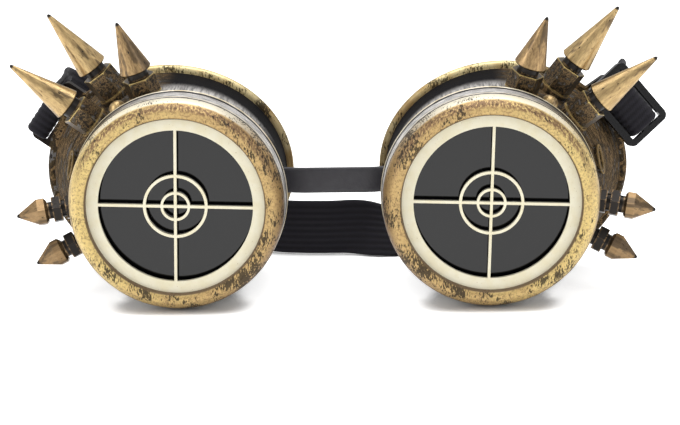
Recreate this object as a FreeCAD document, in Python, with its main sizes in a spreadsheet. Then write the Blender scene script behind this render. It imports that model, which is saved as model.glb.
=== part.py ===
import FreeCAD, Part
import Sketcher
import math
import os

V = FreeCAD.Vector

# All lengths are millimetres and all angles are degrees.
SIZES = {
    # Layout: the bridge centre is the origin, the goggles look along -Y and stand with +Z up.
    "cup_half_spacing": 41.7,
    "bridge_setback": 24.0,
    "bridge_rise": 1.0,
    # Lens stack from the front: reticle plate, spacer, lens, seat gasket.
    "lens_radius": 25.0,
    "lens_thickness": 2.0,
    "plate_thickness": 1.0,
    "plate_rim_width": 4.45,
    "plate_turn": 1.8,
    "spacer_thickness": 1.6,
    "spacer_width": 2.8,
    "seat_gasket_thickness": 0.8,
    "reticle_line_width": 0.74,
    "reticle_large_radius": 8.2,
    "reticle_small_radius": 3.6,
    # Screw ring.
    "bezel_lip": 1.3,
    "bezel_crest": 2.2,
    "bezel_inner_wall": 0.6,
    "bezel_land_inset": 1.2,
    "bezel_land_width": 1.2,
    "groove_depth": 0.45,
    "groove_width": 0.5,
    "bezel_wall": 3.5,
    "bezel_band_depth": 2.8,
    "bezel_depth": 11.4,
    "bezel_bead": 0.4,
    "stack_clearance": 0.3,
    "thread_root_step": 0.8,
    "thread_height": 0.7,
    "thread_clearance": 0.25,
    "thread_pitch": 3.0,
    "thread_width": 1.1,
    "ring_gap": 0.3,
    # Eyecup.
    "neck_step": 1.2,
    "neck_length": 1.8,
    "flare_step": 0.3,
    "cup_wall": 3.0,
    "seat_land": 2.4,
    "flare_length": 24.3,
    "rim_side_flare": 9.9,
    "rim_top_flare": 5.1,
    "rim_offset": 5.3,
    "rim_overhang": 1.8,
    "rim_lap": 0.5,
    "rim_thickness": 3.0,
    "rim_round": 1.2,
    "cushion_inset": 2.2,
    "cushion_width": 6.0,
    "cushion_thickness": 5.0,
    "cushion_round": 2.0,
    # Temple ear for the headband.
    "ear_angle": 31.4,
    "ear_end": 1.0,
    "ear_round": 1.6,
    "ear_bar": 2.2,
    "ear_slot": 2.2,
    "ear_slot_margin": 0.4,
    "ear_reach": 0.5,
    # Bridge strap and its pins.
    "bridge_height": 7.2,
    "bridge_thickness": 1.2,
    "pin_radius": 0.8,
    "pin_length": 13.0,
    "pin_inset": 1.7,
    "pin_clearance": 0.08,
    "pin_press": 0.02,
    "window_height_margin": 0.6,
    "window_width": 7.0,
    # Cone spikes, standoffs and screws.
    "spike_base_radius": 4.35,
    "spike_tip_radius": 0.5,
    "spike_long": 18.9,
    "spike_short": 14.1,
    "collar_radius": 2.9,
    "collar_height": 2.0,
    "standoff_flat_radius": 4.0,
    "standoff_short": 5.2,
    "standoff_middle": 6.2,
    "standoff_tall": 7.2,
    "boss_radius": 4.7,
    "boss_depth": 3.6,
    "screw_radius": 1.5,
    "screw_head_radius": 2.7,
    "screw_head_height": 1.6,
    "screw_bite": 5.0,
    "screw_clearance": 0.1,
    "spike_lean": 10.0,
    # Small six-sided studs.
    "stud_radius": 4.0,
    "stud_neck_radius": 2.35,
    "stud_length": 15.4,
    "stud_boss_radius": 3.9,
    # Dome rivet beside the screw ring.
    "rivet_radius": 2.3,
    "rivet_height": 2.4,
    "rivet_foot": 0.7,
    "rivet_shank_radius": 1.05,
    "rivet_shank_length": 3.4,
    "rivet_boss_margin": 0.5,
    # Vent on the temple side.
    "vent_half_length": 4.2,
    "vent_half_width": 2.5,
    "vent_lip": 1.2,
    "vent_lean": 20.0,
    "frame_depth": 3.0,
    # Seats on the flare: angle above the temple side, set behind the flare's front, stand above its skin.
    "spike_upper_angle": 72.0,
    "spike_upper_set": 3.5,
    "spike_upper_stand": 0.48,
    "spike_middle_angle": 54.0,
    "spike_middle_set": 13.5,
    "spike_middle_stand": 1.13,
    "spike_lower_angle": 38.6,
    "spike_lower_set": 6.5,
    "spike_lower_stand": 0.19,
    "stud_upper_angle": -8.0,
    "stud_upper_set": 5.0,
    "stud_upper_stand": 0.1,
    "stud_lower_angle": -26.0,
    "stud_lower_set": 5.0,
    "stud_lower_stand": 0.08,
    "rivet_angle": 55.5,
    "rivet_set": 1.5,
    "rivet_stand": 0.0,
    "vent_angle": 12.0,
    "vent_set": 8.0,
    "vent_stand": 0.55,
    # Headband and slider.
    "strap_width": 16.0,
    "strap_thickness": 1.2,
    "strap_gap": 10.2,
    "strap_slack": 20.0,
    "strap_lift": 0.3,
    "strap_spread": 8.3,
    "slider_length": 14.0,
    "slider_width": 20.5,
    "slider_thickness": 2.0,
    "slider_bar": 1.9,
    "slider_tilt": 15.0,
    "slider_turn": 5.0,
}

# Cone and standoff on each spike seat, and the seats of the small studs.
SPIKES = {
    "upper": ("spike_short", "standoff_short"),
    "middle": ("spike_long", "standoff_tall"),
    "lower": ("spike_long", "standoff_middle"),
}
STUDS = ("upper", "lower")

doc = FreeCAD.newDocument("goggles")
sheet = doc.addObject("Spreadsheet::Sheet", "Dims")
for row, (alias, number) in enumerate(SIZES.items(), 1):
    sheet.set("A%d" % row, alias)
    sheet.set("B%d" % row, str(number))
    sheet.setAlias("B%d" % row, alias)
doc.recompute()


class Size:
    """A number together with the spreadsheet expression that gives it."""

    def __init__(self, text, value):
        self.text = text
        self.value = value

    def join(self, sign, other, value):
        return Size("(%s %s %s)" % (self.text, sign, other.text), value)

    def __add__(self, other):
        other = size(other)
        return self.join("+", other, self.value + other.value)

    def __sub__(self, other):
        other = size(other)
        return self.join("-", other, self.value - other.value)

    def __mul__(self, other):
        other = size(other)
        return self.join("*", other, self.value * other.value)

    def __truediv__(self, other):
        other = size(other)
        return self.join("/", other, self.value / other.value)

    def __radd__(self, other):
        return size(other) + self

    def __rsub__(self, other):
        return size(other) - self

    def __rmul__(self, other):
        return size(other) * self

    def __neg__(self):
        return size(0) - self


def size(item):
    if isinstance(item, Size):
        return item
    if isinstance(item, str):
        return Size("Dims.%s" % item, float(SIZES[item]))
    return Size("%.6f" % item, float(item))


def bind(obj, prop, item):
    item = size(item)
    if "Dims." in item.text:
        obj.setExpression(prop, item.text)
    else:
        setattr(obj, prop, item.value)


def plane(body, role):
    return next(f for f in body.Origin.OriginFeatures if f.Role == role)


def pin_point(sketch, geo, pos, x, y):
    for axis, kind, other, item in ((0, "DistanceX", -2, size(x)), (1, "DistanceY", -1, size(y))):
        if item.value == 0 and "Dims." not in item.text:
            sketch.addConstraint(Sketcher.Constraint("PointOnObject", geo, pos, other))
            continue
        number = sketch.addConstraint(Sketcher.Constraint(kind, -1, 1, geo, pos, item.value))
        if "Dims." in item.text:
            label = "g%dp%da%d" % (abs(geo), pos, axis)
            sketch.renameConstraint(number, label)
            sketch.setExpression("Constraints.%s" % label, item.text)


def outline(sketch, steps):
    """Closed outline: each step is its end point, or its end point and a point on the arc to it."""
    points = [V(size(s[0]).value, size(s[1]).value, 0) for s in steps]
    ends = []
    for i, step in enumerate(steps):
        a = points[i - 1]
        b = points[i]
        if len(step) == 2:
            geo = sketch.addGeometry(Part.LineSegment(a, b), False)
            ends.append((geo, 1, 2))
            continue
        m = V(size(step[2]).value, size(step[3]).value, 0)
        circle = Part.Arc(a, m, b).toShape().Curve
        centre = V(circle.Center.x, circle.Center.y, 0)
        turn = (m - a).cross(b - m).z
        first, last = (a, b) if turn > 0 else (b, a)
        start = math.atan2(first.y - centre.y, first.x - centre.x)
        stop = math.atan2(last.y - centre.y, last.x - centre.x)
        if stop <= start:
            stop += 2 * math.pi
        round_edge = Part.Circle(centre, V(0, 0, 1), circle.Radius)
        geo = sketch.addGeometry(Part.ArcOfCircle(round_edge, start, stop), False)
        ends.append((geo, 1, 2) if turn > 0 else (geo, 2, 1))
        mark = sketch.addGeometry(Part.Point(m), True)
        sketch.addConstraint(Sketcher.Constraint("PointOnObject", mark, 1, geo))
        pin_point(sketch, mark, 1, step[2], step[3])
    for i, step in enumerate(steps):
        geo, begin, end = ends[i]
        after, after_begin, after_end = ends[(i + 1) % len(steps)]
        sketch.addConstraint(Sketcher.Constraint("Coincident", geo, end, after, after_begin))
        pin_point(sketch, geo, end, step[0], step[1])


def sketch_on(body, name, role, steps):
    sketch = body.newObject("Sketcher::SketchObject", name)
    sketch.AttachmentSupport = [(plane(body, role), "")]
    sketch.MapMode = "FlatFace"
    outline(sketch, steps)
    return sketch


def turned(name, steps, role="XY_Plane"):
    """A turned piece: radius and height pairs, turned about the second axis of the plane."""
    body = doc.addObject("PartDesign::Body", name)
    sketch = sketch_on(body, name + "_outline", role, steps)
    solid = body.newObject("PartDesign::Revolution", name + "_turn")
    solid.Profile = sketch
    solid.ReferenceAxis = (sketch, ["V_Axis"])
    solid.Angle = 360
    return body


def ridge(body, name, steps, turns):
    sketch = sketch_on(body, name + "_outline", "XY_Plane", steps)
    helix = body.newObject("PartDesign::AdditiveHelix", name)
    helix.Profile = sketch
    helix.ReferenceAxis = (sketch, ["V_Axis"])
    helix.Mode = 1
    bind(helix, "Pitch", "thread_pitch")
    bind(helix, "Turns", turns)
    return helix


def place(obj, base, rotation=None):
    turn = rotation if rotation is not None else FreeCAD.Rotation()
    numbers = [size(b).value for b in base]
    obj.Placement = FreeCAD.Placement(V(*numbers), turn)
    for axis, item in zip("xyz", base):
        item = size(item)
        if "Dims." in item.text:
            obj.setExpression("Placement.Base.%s" % axis, item.text)
    return obj


def along(direction):
    return FreeCAD.Rotation(V(0, 0, 1), direction)


def cylinder(name, radius, height, base, direction=V(0, 0, 1)):
    obj = doc.addObject("Part::Cylinder", name)
    bind(obj, "Radius", radius)
    bind(obj, "Height", height)
    return place(obj, base, along(direction))


def box(name, length, width, height, base, rotation=None):
    obj = doc.addObject("Part::Box", name)
    bind(obj, "Length", length)
    bind(obj, "Width", width)
    bind(obj, "Height", height)
    return place(obj, base, rotation)


def fuse(name, shapes):
    obj = doc.addObject("Part::MultiFuse", name)
    obj.Shapes = shapes
    obj.Refine = True
    return obj


def cut(name, base, tools):
    tool = tools[0]
    if len(tools) > 1:
        tool = doc.addObject("Part::MultiFuse", name + "_tools")
        tool.Shapes = tools
    obj = doc.addObject("Part::Cut", name)
    obj.Base = base
    obj.Tool = tool
    return obj


def prism(name, radius, height, base, direction):
    """Six-sided block of the given corner radius."""
    obj = doc.addObject("Part::Prism", name)
    obj.Polygon = 6
    bind(obj, "Circumradius", radius)
    bind(obj, "Height", height)
    return place(obj, base, along(direction))


def hexagon(name, radius, base, direction):
    obj = doc.addObject("Part::RegularPolygon", name)
    obj.Polygon = 6
    bind(obj, "Circumradius", radius)
    return place(obj, base, along(direction))


def group(name, shapes):
    obj = doc.addObject("Part::Compound", name)
    obj.Links = shapes
    return obj


def oval(name, half_width, half_height, base, rotation):
    """Ellipse whose longer half is its width, or its height where that is more."""
    obj = doc.addObject("Part::Ellipse", name)
    halves = [half_width, half_height]
    if size(half_height).value > size(half_width).value:
        halves.reverse()
        rotation = rotation.multiply(FreeCAD.Rotation(V(0, 0, 1), 90))
    bind(obj, "MajorRadius", halves[0])
    bind(obj, "MinorRadius", halves[1])
    return place(obj, base, rotation)


def pull(name, base, length, direction):
    obj = doc.addObject("Part::Extrusion", name)
    obj.Base = base
    obj.DirMode = "Custom"
    obj.Dir = direction
    bind(obj, "LengthFwd", length)
    obj.Solid = True
    return obj


def loft(name, sections):
    obj = doc.addObject("Part::Loft", name)
    obj.Sections = sections
    obj.Solid = True
    obj.Ruled = True
    return obj


def rounded(name, base, radius, wanted):
    """Round the edges of a shape that the test picks."""
    doc.recompute()
    obj = doc.addObject("Part::Fillet", name)
    obj.Base = base
    amount = size(radius).value
    picked = [i for i, edge in enumerate(base.Shape.Edges, 1) if wanted(edge)]
    obj.Edges = [(i, amount, amount) for i in picked]
    return obj


NODES = {}

# Depths behind the plate's front face.
spacer_at = size("plate_thickness")
lens_at = spacer_at + "spacer_thickness"
gasket_at = lens_at + "lens_thickness"
seat_at = gasket_at + "seat_gasket_thickness"
shoulder_at = size("bezel_depth") + "ring_gap"
flare_at = shoulder_at + "neck_length"
rim_at = flare_at + "flare_length"
back_at = rim_at + "rim_thickness"

# Radii of the lens seat, screw thread and ring.
opening_radius = size("lens_radius") - "bezel_lip"
plate_opening = size("lens_radius") - "plate_rim_width"
ring_bore = size("lens_radius") + "stack_clearance"
thread_root = size("lens_radius") + "thread_root_step"
thread_crest = thread_root + "thread_height"
thread_bore = thread_crest + "thread_clearance"
ridge_crest = thread_root + "thread_clearance"
ring_radius = ring_bore + "bezel_wall"
bead_radius = ring_radius + "bezel_bead"
neck_radius = thread_root + "neck_step"
seat_bore = thread_root - "seat_land"
flare_bore = neck_radius - "cup_wall"
axis_up = -size("bridge_rise")
plate_at = -size("bridge_setback")
rim_half_width = size("lens_radius") + "rim_side_flare"
rim_half_height = size("lens_radius") + "rim_top_flare"
rim_up = axis_up + (rim_half_height - bead_radius)
flare_half_width = rim_half_width - "rim_overhang"
flare_half_height = rim_half_height - "rim_overhang"
hollow_half_width = flare_half_width - "cup_wall"
hollow_half_height = flare_half_height - "cup_wall"
pin_out = neck_radius - "pin_inset"

# Distances along the ear, out from the rim's edge.
slot_from = size("ear_reach")
slot_to = slot_from + "ear_slot"
ear_to = slot_to + "ear_bar"

FLAT = FreeCAD.Rotation(V(1, 0, 0), 90)


def compass(side, angle, lean=0.0):
    """Outward direction at an angle above the temple side, leaning to the front."""
    a = math.radians(angle)
    b = math.radians(lean)
    return V(side * math.cos(a) * math.cos(b), -math.sin(b), math.sin(a) * math.cos(b))


def flare_radius(angle, depth):
    """Distance from the cup axis to the flare's skin, where a ray at this angle leaves its oval section."""
    front = (neck_radius + "flare_step").value
    share = (depth - flare_at.value) / (rim_at + "rim_lap" - flare_at).value
    wide = front + share * (flare_half_width.value - front)
    tall = front + share * (flare_half_height.value - front)
    out = share * SIZES["rim_offset"]
    up = share * (rim_up - axis_up).value
    across = math.cos(math.radians(angle))
    rise = math.sin(math.radians(angle))
    square = (across / wide) ** 2 + (rise / tall) ** 2
    slant = across * out / wide ** 2 + rise * up / tall ** 2
    rest = (out / wide) ** 2 + (up / tall) ** 2 - 1
    return (slant + math.sqrt(slant ** 2 - square * rest)) / square


class Seat:
    """Flat round seat on the flare, whose lowest edge stands clear of the skin."""

    def __init__(self, side, name, half, lean):
        angle = SIZES[name + "_angle"]
        depth = flare_at.value + SIZES[name + "_set"]
        half = size(half).value
        slope = math.tan(math.radians(lean))
        skin = max(flare_radius(angle, depth + w) - w * slope for w in (-half, 0, half))
        radius = skin + SIZES[name + "_stand"]
        centre = V(side * SIZES["cup_half_spacing"], plate_at.value + depth, axis_up.value)
        self.point = centre + compass(side, angle) * radius
        self.way = compass(side, angle, lean)

    def at(self, distance):
        point = self.point + self.way * size(distance).value
        return (point.x, point.y, point.z)


def seats_on(side):
    """Every seat on one eyecup by name, with the radius of its boss."""
    lean = SIZES["spike_lean"]
    seats = {}
    for name in SPIKES:
        seats["spike_" + name] = Seat(side, "spike_" + name, "boss_radius", lean)
    for name in STUDS:
        seats["stud_" + name] = Seat(side, "stud_" + name, "stud_boss_radius", lean)
    seats["rivet"] = Seat(side, "rivet", size("rivet_radius") + "rivet_boss_margin", 0.0)
    seats["vent"] = Seat(side, "vent", "vent_half_length", SIZES["vent_lean"])
    return seats


BACK = V(0, 1, 0)


def build_bezel(tag, side):
    """Screw ring with a flat front land, a convex band, a plain side band and a rear bead."""
    crest = -size("bezel_crest")
    land = opening_radius + "bezel_land_inset"
    band_end = size("bezel_band_depth")
    side_from = band_end + size("groove_width") * 1.8
    side_to = size("bezel_depth") - size("groove_width") * 3.2
    root = ring_radius - "groove_depth"
    body = turned(tag + "bezel", [
        (opening_radius, 0),
        (opening_radius, -size("bezel_inner_wall")),
        (land, crest, opening_radius + 0.3, crest * 0.78),
        (land + "bezel_land_width", crest),
        (ring_radius - 0.1, band_end, ring_radius - 0.95, crest * 0.12),
        (root, band_end + "groove_width"),
        (ring_radius, side_from),
        (ring_radius, side_to),
        (root, side_to + 0.3),
        (root, side_to + 0.6),
        (ring_radius - 0.2, "bezel_depth", bead_radius, side_to + 1.1),
        (thread_bore, "bezel_depth"),
        (thread_bore, seat_at - 0.2),
        (ring_bore, seat_at - 0.6),
        (ring_bore, 0),
    ])
    half = size("thread_width") / 2
    start = seat_at + 1.0 + size("thread_pitch") / 2
    turns = (size("bezel_depth") - 0.5 - half - start) / "thread_pitch"
    ridge(body, tag + "bezel_ridge", [
        (thread_bore + 0.4, start - half),
        (thread_bore, start - half),
        (ridge_crest, start - half * 0.4),
        (ridge_crest, start + half * 0.4),
        (thread_bore, start + half),
        (thread_bore + 0.4, start + half),
    ], turns)
    return place(body, cup_centre(side))


def build_neck(tag, side):
    """Threaded front sleeve of the eyecup with the flat seat for the lens gasket."""
    root = shoulder_at + 0.6
    body = turned(tag + "neck", [
        (seat_bore, seat_at),
        (thread_root, seat_at),
        (thread_root, root),
        (seat_bore, root),
    ])
    half = size("thread_width") / 2
    start = seat_at + 1.0
    turns = (shoulder_at - 0.8 - half - start) / "thread_pitch"
    ridge(body, tag + "neck_ridge", [
        (thread_root - 0.4, start - half),
        (thread_root, start - half),
        (thread_crest, start - half * 0.4),
        (thread_crest, start + half * 0.4),
        (thread_root, start + half),
        (thread_root - 0.4, start + half),
    ], turns)
    return place(body, cup_centre(side))


def cup_centre(side):
    return (side * size("cup_half_spacing"), plate_at, axis_up)


def build_plate(tag, side):
    """Flat cut-out disc: a ring, a full cross and two circles, turned a little in its seat."""
    line = size("reticle_line_width")

    def hoop(name, outer, inner):
        disc = cylinder(name + "_disc", outer, "plate_thickness", (0, 0, 0), BACK)
        hole = cylinder(name + "_hole", inner, size("plate_thickness") + 2, (0, -1, 0), BACK)
        return cut(name, disc, [hole])

    reach = plate_opening + size("plate_rim_width") / 4
    large = size("reticle_large_radius")
    small = size("reticle_small_radius")
    pieces = [
        hoop(tag + "plate_edge", "lens_radius", plate_opening),
        hoop(tag + "plate_large", large + line / 2, large - line / 2),
        hoop(tag + "plate_small", small + line * 0.45, small - line * 0.45),
        box(tag + "plate_level", reach * 2, "plate_thickness", line, (-reach, 0, -line / 2)),
        box(tag + "plate_plumb", line, "plate_thickness", reach * 2, (-line / 2, 0, -reach)),
    ]
    whole = fuse(tag + "reticle_plate", pieces)
    return place(whole, cup_centre(side), FreeCAD.Rotation(BACK, SIZES["plate_turn"]))


def washer(name, side, outer, inner, front, thickness):
    front = size(front)
    back = front + thickness
    body = turned(name, [(inner, front), (outer, front), (outer, back), (inner, back)])
    return place(body, cup_centre(side))


def build_lens(tag, side):
    back = lens_at + "lens_thickness"
    body = turned(tag + "lens", [(0, lens_at), ("lens_radius", lens_at), ("lens_radius", back), (0, back)])
    return place(body, cup_centre(side))


def rim_oval(name, side, half_width, half_height, depth):
    x = side * (size("cup_half_spacing") + "rim_offset")
    return oval(name, half_width, half_height, (x, plate_at + depth, rim_up), FLAT)


def neck_oval(name, side, radius, depth):
    x, y, z = cup_centre(side)
    return oval(name, radius, radius, (x, y + depth, z), FLAT)


def ear_out(side):
    """Direction of the ear, square to the oval rim where it grows from it."""
    a = math.radians(SIZES["ear_angle"])
    out = V(side * math.cos(a) / rim_half_width.value, 0, math.sin(a) / rim_half_height.value)
    return out.normalize()


def on_ear(side, out, depth, sideways=0.0):
    """Point by its distance along the ear from the rim's edge and its depth behind the plate."""
    a = math.radians(SIZES["ear_angle"])
    edge = size("cup_half_spacing") + "rim_offset" + rim_half_width * math.cos(a)
    p = V(side * edge.value, plate_at.value, (rim_up + rim_half_height * math.sin(a)).value)
    p = p + ear_out(side) * size(out).value
    p = p + BACK * size(depth).value
    return p + ear_out(side).cross(BACK) * size(sideways).value


def ear_axes(side):
    out = ear_out(side)
    return FreeCAD.Rotation(out, BACK, out.cross(BACK), "XYZ")


def far_corner(side):
    end = on_ear(side, ear_to, 0)
    out = ear_out(side)

    def test(edge):
        a = edge.Vertexes[0].Point
        b = edge.Vertexes[-1].Point
        runs_back = abs((b - a).y) > 0.9 * (b - a).Length > 0
        return runs_back and (a - end).dot(out) > -0.5

    return test


def build_cup(tag, side, seats):
    """Eyecup: threaded neck, flare, rolled rim, bosses, vent, headband ear and bridge window."""
    flare = loft(tag + "flare", [
        neck_oval(tag + "flare_front", side, neck_radius + "flare_step", flare_at),
        rim_oval(tag + "flare_back", side, flare_half_width, flare_half_height, rim_at + "rim_lap"),
    ])
    rim_edge = rim_oval(tag + "rim_edge", side, rim_half_width, rim_half_height, rim_at)
    rim_block = pull(tag + "rim_block", rim_edge, "rim_thickness", BACK)
    rim = rounded(tag + "rim", rim_block, "rim_round", lambda e: "Ellipse" in e.Curve.TypeId)
    slot_width = size("strap_width") + size("ear_slot_margin") * 2
    ear_length = slot_width + size("ear_end") * 2
    ear_from = slot_from - 3
    corner = on_ear(side, ear_from, rim_at + 0.2, -ear_length / 2)
    ear_block = box(tag + "ear_block", ear_to - ear_from, size("rim_thickness") - 0.4, ear_length,
                    (corner.x, corner.y, corner.z), ear_axes(side))
    ear_round = rounded(tag + "ear_round", ear_block, "ear_round", far_corner(side))
    corner = on_ear(side, slot_from, rim_at - 2, -slot_width / 2)
    slot = box(tag + "ear_slot", "ear_slot", size("rim_thickness") + 6, slot_width,
               (corner.x, corner.y, corner.z), ear_axes(side))
    ear = cut(tag + "ear", ear_round, [slot])
    x, y, z = cup_centre(side)
    collar = cylinder(tag + "neck_collar", neck_radius, size("neck_length") + 1,
                      (x, y + shoulder_at, z), BACK)
    adds = [flare, rim, ear, collar]
    hollow = loft(tag + "hollow", [
        neck_oval(tag + "hollow_front", side, flare_bore + "flare_step", flare_at - 0.5),
        rim_oval(tag + "hollow_back", side, hollow_half_width, hollow_half_height, rim_at),
        rim_oval(tag + "hollow_end", side, hollow_half_width, hollow_half_height, back_at + 1),
    ])
    throat = cylinder(tag + "neck_throat", flare_bore, size("neck_length") + 1.5,
                      (x, y + shoulder_at - 1, z), BACK)
    cuts = [hollow, throat]
    inner = -size("boss_depth")
    for name, seat in seats.items():
        if name in ("rivet", "vent"):
            continue
        width = "boss_radius" if name.startswith("spike") else "stud_boss_radius"
        adds.append(cylinder(tag + name + "_boss", width, "boss_depth", seat.at(inner), seat.way))
        cuts.append(cylinder(tag + name + "_bore", size("screw_radius") + "screw_clearance",
                             size("boss_depth") + 4, seat.at(inner - 2), seat.way))
        cuts.append(cylinder(tag + name + "_face", size("screw_head_radius") + 0.4, 6.0,
                             seat.at(inner - 6), seat.way))
    vent = seats["vent"]
    across = vent.way.cross(BACK)
    across.normalize()
    turn = FreeCAD.Rotation(across, vent.way.cross(across), vent.way, "ZXY")
    sunk = -size("frame_depth")
    lip = oval(tag + "vent_edge", "vent_half_length", "vent_half_width", vent.at(sunk), turn)
    adds.append(pull(tag + "vent_frame", lip, "frame_depth", vent.way))
    gap = oval(tag + "vent_gap_edge", size("vent_half_length") - "vent_lip",
               size("vent_half_width") - "vent_lip", vent.at(sunk * 3), turn)
    cuts.append(pull(tag + "vent_gap", gap, size("frame_depth") * 4, vent.way))
    rivet = seats["rivet"]
    adds.append(cylinder(tag + "rivet_boss", size("rivet_radius") + "rivet_boss_margin", "frame_depth",
                         rivet.at(sunk), rivet.way))
    cuts.append(cylinder(tag + "rivet_bore", size("rivet_shank_radius") + 0.05, size("frame_depth") * 3,
                         rivet.at(sunk * 2), rivet.way))
    pin_x = side * (size("cup_half_spacing") - pin_out)
    window = size("bridge_height") + size("window_height_margin") * 2
    cuts.append(box(tag + "window", 10.0, "window_width", window,
                    (pin_x - 5, -size("window_width") / 2, -window / 2)))
    cuts.append(cylinder(tag + "pin_bore", size("pin_radius") + "pin_press", "pin_length",
                         (pin_x, 0, -size("pin_length") / 2)))
    outside = fuse(tag + "cup_outside", adds)
    flared = outside
    for number, tool in enumerate(cuts):
        flared = cut(tag + "cup_cut_%d" % number, flared, [tool])
    whole = doc.addObject("Part::Fuse", tag + "eyecup")
    whole.Base = build_neck(tag, side)
    whole.Tool = flared
    whole.Refine = False
    return whole


def build_cushion(tag, side):
    """Soft ring on the back of the rim with a rounded crown."""
    wide = rim_half_width - "cushion_inset"
    tall = rim_half_height - "cushion_inset"
    edge = rim_oval(tag + "cushion_edge", side, wide, tall, back_at)
    block = pull(tag + "cushion_block", edge, "cushion_thickness", BACK)
    hole_edge = rim_oval(tag + "cushion_hole_edge", side, wide - "cushion_width", tall - "cushion_width",
                         back_at - 1)
    hole = pull(tag + "cushion_hole", hole_edge, size("cushion_thickness") + 2, BACK)
    far = plate_at.value + back_at.value + SIZES["cushion_thickness"] - 0.01
    crown = rounded(tag + "cushion_crown", block, "cushion_round", lambda e: e.BoundBox.YMin > far)
    ring = cut(tag + "cushion_ring", crown, [hole])
    inside = (wide - "cushion_width").value * 2 + 0.01

    def inner_edge(edge):
        return edge.BoundBox.YMin > far and edge.BoundBox.XLength < inside

    return rounded(tag + "face_cushion", ring, "cushion_round", inner_edge)


def build_spike(name, seat, length, standoff):
    """Cone on a short round collar, bored from below for its screw."""
    hole = size("screw_radius") + 0.05
    depth_in = size("collar_height") + "screw_bite" + 0.5
    foot = size("collar_height")
    top = foot + length
    body = turned(name, [
        (hole, 0),
        ("collar_radius", 0),
        ("collar_radius", foot),
        (size("spike_base_radius") - 0.3, foot),
        ("spike_base_radius", foot + 0.4),
        ("spike_tip_radius", top - size("spike_tip_radius") * 0.8),
        (size("spike_tip_radius") * 0.5, top),
        (0, top),
        (0, depth_in),
        (hole, depth_in),
    ], "XZ_Plane")
    return place(body, seat.at(standoff), along(seat.way))


def build_stud(name, seat):
    """Small stud: six-sided foot, collar and pointed head on a round neck, bored from below."""
    wide = size("stud_radius")
    tall = size("stud_length")
    hole = size("screw_radius") + 0.05
    deep = tall * 0.5
    head = loft(name + "_head", [
        hexagon(name + "_head_back", wide * 0.8, seat.at(tall * 0.45), seat.way),
        hexagon(name + "_head_wide", wide, seat.at(tall * 0.49), seat.way),
        hexagon(name + "_head_front", wide, seat.at(tall * 0.62), seat.way),
        hexagon(name + "_head_tip", wide * 0.08, seat.at(tall), seat.way),
    ])
    pieces = [
        cylinder(name + "_neck", "stud_neck_radius", deep, seat.at(0), seat.way),
        prism(name + "_foot", wide * 0.88, tall * 0.13, seat.at(0), seat.way),
        prism(name + "_collar", wide * 0.96, tall * 0.16, seat.at(tall * 0.2), seat.way),
        head,
    ]
    bore = cylinder(name + "_bore", hole, deep + 1, seat.at(-1), seat.way)
    return cut(name, fuse(name + "_whole", pieces), [bore])


def build_standoff(name, seat, height):
    """Hex standoff, bored through for the spike's screw."""
    corner = size("standoff_flat_radius") / math.cos(math.pi / 6)
    block = prism(name + "_block", corner, height, seat.at(0), seat.way)
    hole = cylinder(name + "_hole", size("screw_radius") + "screw_clearance", size(height) + 2,
                    seat.at(-1), seat.way)
    return cut(name, block, [hole])


def build_screw(name, seat, reach):
    """Pan screw from inside the cup: its head seats on the boss and its end sits in the spike or stud."""
    under = seat.at(-size("boss_depth") - "screw_head_height")
    head = cylinder(name + "_head", "screw_head_radius", "screw_head_height", under, seat.way)
    shank = cylinder(name + "_shank", "screw_radius", size("screw_head_height") + "boss_depth" + reach,
                     under, seat.way)
    return fuse(name, [head, shank])


def build_rivet(name, seat):
    """Dome rivet with a plain shank in the wall."""
    wide = size("rivet_radius")
    tall = size("rivet_height")
    deep = -size("rivet_shank_length")
    body = turned(name, [
        (0, deep),
        ("rivet_shank_radius", deep),
        ("rivet_shank_radius", 0),
        (wide, 0),
        (wide, "rivet_foot"),
        (wide * 0.15, tall, wide * 0.74, tall * 0.74),
        (0, tall),
    ], "XZ_Plane")
    return place(body, seat.at(0), along(seat.way))


def build_side(tag, side):
    seats = seats_on(side)
    NODES[tag + "eyecup"] = build_cup(tag, side, seats)
    NODES[tag + "face_cushion"] = build_cushion(tag, side)
    NODES[tag + "bezel"] = build_bezel(tag, side)
    NODES[tag + "reticle_plate"] = build_plate(tag, side)
    NODES[tag + "lens_spacer"] = washer(tag + "lens_spacer", side, "lens_radius",
                                        size("lens_radius") - "spacer_width", spacer_at, "spacer_thickness")
    NODES[tag + "lens"] = build_lens(tag, side)
    NODES[tag + "seat_gasket"] = washer(tag + "seat_gasket", side, size("lens_radius") - 0.2,
                                        seat_bore + 0.2, gasket_at, "seat_gasket_thickness")
    NODES[tag + "bridge_pin"] = cylinder(tag + "bridge_pin", "pin_radius", "pin_length",
                                         (side * (size("cup_half_spacing") - pin_out), 0,
                                          -size("pin_length") / 2))
    standoffs = []
    screws = []
    for name, (length, height) in SPIKES.items():
        seat = seats["spike_" + name]
        NODES[tag + "spike_" + name] = build_spike(tag + "spike_" + name, seat, length, height)
        standoffs.append(build_standoff(tag + "standoff_" + name, seat, height))
        reach = size(height) + "collar_height" + "screw_bite"
        screws.append(build_screw(tag + "spike_screw_" + name, seat, reach))
    NODES[tag + "standoffs"] = group(tag + "standoffs", standoffs)
    NODES[tag + "spike_screws"] = group(tag + "spike_screws", screws)
    stud_screws = []
    for name in STUDS:
        seat = seats["stud_" + name]
        NODES[tag + "stud_" + name] = build_stud(tag + "stud_" + name, seat)
        reach = size("stud_length") * 0.46
        stud_screws.append(build_screw(tag + "stud_screw_" + name, seat, reach))
    NODES[tag + "stud_screws"] = group(tag + "stud_screws", stud_screws)
    NODES[tag + "rivet"] = build_rivet(tag + "rivet", seats["rivet"])


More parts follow.
